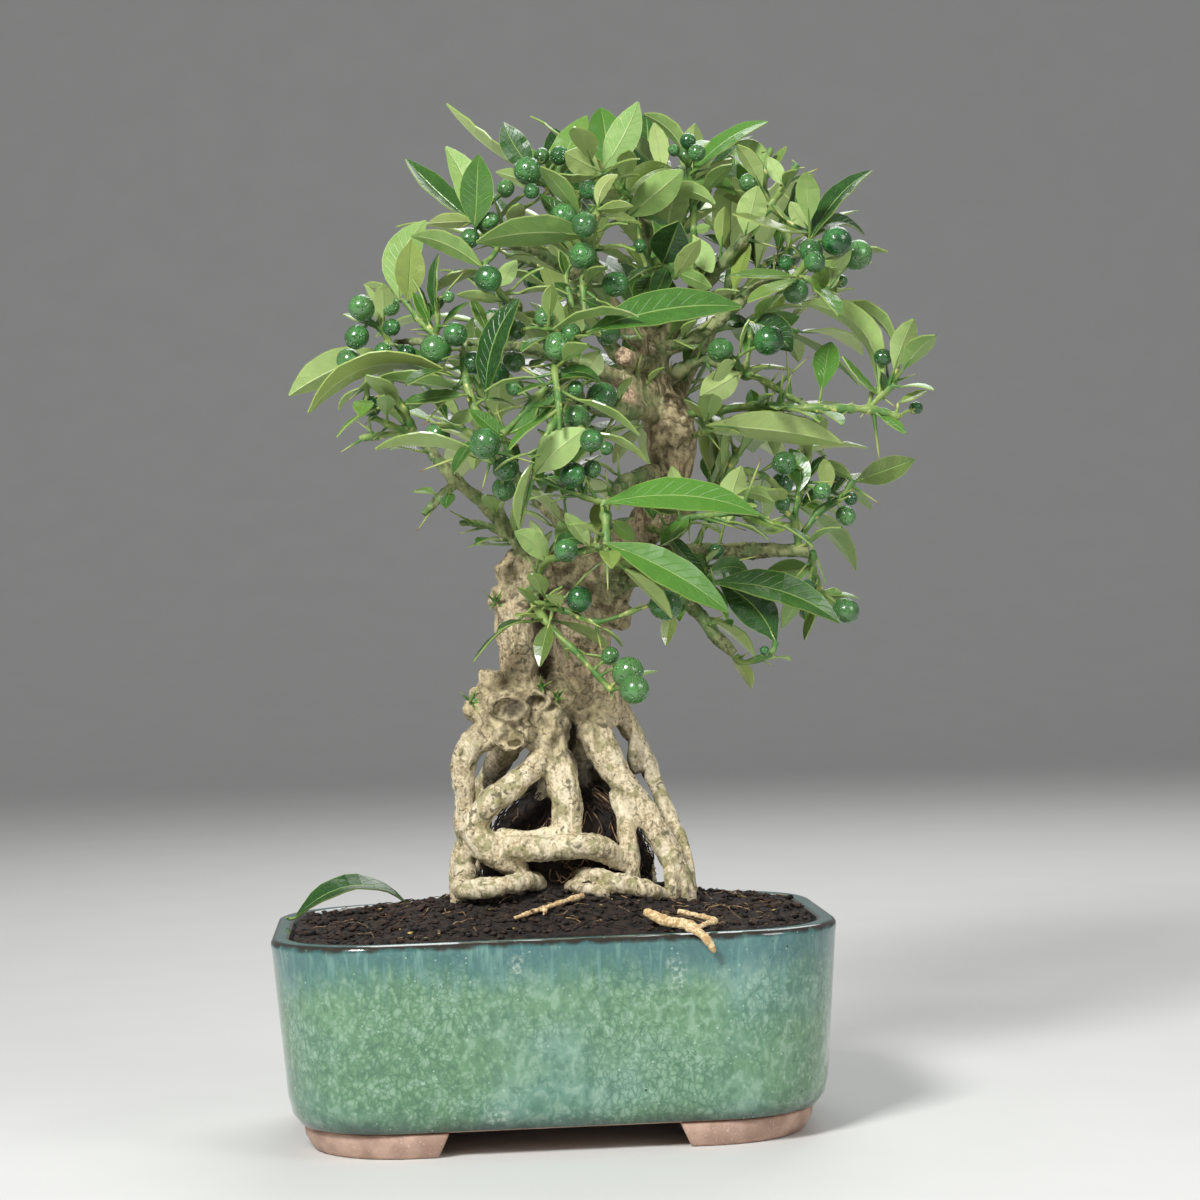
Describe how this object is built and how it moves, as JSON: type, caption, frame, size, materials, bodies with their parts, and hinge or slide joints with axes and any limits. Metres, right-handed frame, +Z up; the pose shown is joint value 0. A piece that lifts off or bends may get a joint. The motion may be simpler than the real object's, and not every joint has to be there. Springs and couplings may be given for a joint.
{
  "type": "potted bonsai tree",
  "caption": "Potted kumquat bonsai: exposed roots and twin trunk, thorny leafy crown with unripe fruit, in an oval-cornered glazed pot on corner feet.",
  "frame": {"origin": "middle of the whole tree's footprint, on the surface the pot's feet stand on", "axes": "+Z up along the trunk and the longest extent, +X along the pot's long side to the right, -Y towards the front"},
  "size_m": [0.2286, 0.1854, 0.3619],
  "materials": {
    "pot_glaze": "gloss",
    "drain_screen": "matte",
    "soil": "matte",
    "bark": "matte",
    "dead_root": "matte",
    "leaf": "satin"
  },
  "bodies": {
    "root": {"drain_screen_left": "drain_screen", "drain_screen_right": "drain_screen", "fallen_leaf": "leaf", "loose_root_on_soil": "dead_root", "loose_root_over_rim": "dead_root", "pot": "pot_glaze", "soil": "soil", "spray_back_left_high": "leaf", "spray_back_left_inner": "leaf", "spray_back_left_side": "leaf", "spray_back_left_top": "leaf", "spray_back_low_left": "leaf", "spray_back_low_left_up": "leaf", "spray_back_low_middle": "leaf", "spray_back_low_right": "leaf", "spray_back_low_right_up": "leaf", "spray_back_middle_left": "leaf", "spray_back_middle_right": "leaf", "spray_back_middle_up": "leaf", "spray_back_right_high": "leaf", "spray_back_right_side": "leaf", "spray_back_right_top": "leaf", "spray_back_top": "leaf", "spray_back_top_left": "leaf", "spray_back_top_right": "leaf", "spray_burl": "leaf", "spray_centre": "leaf", "spray_centre_right": "leaf", "spray_front_left": "leaf", "spray_front_low": "leaf", "spray_front_right": "leaf", "spray_front_upper": "leaf", "spray_left_low": "leaf", "spray_left_mid": "leaf", "spray_left_tip": "leaf", "spray_left_upper": "leaf", "spray_right_end": "leaf", "spray_right_long": "leaf", "spray_right_low": "leaf", "spray_right_low_tip": "leaf", "spray_right_mid": "leaf", "spray_right_middle": "leaf", "spray_right_shade": "leaf", "spray_right_top": "leaf", "spray_top": "leaf", "spray_top_front": "leaf", "spray_top_left": "leaf", "spray_top_mid": "leaf", "spray_upper_left": "leaf", "spray_upper_right": "leaf", "trunk_and_roots": "bark"}
  },
  "joints": []
}
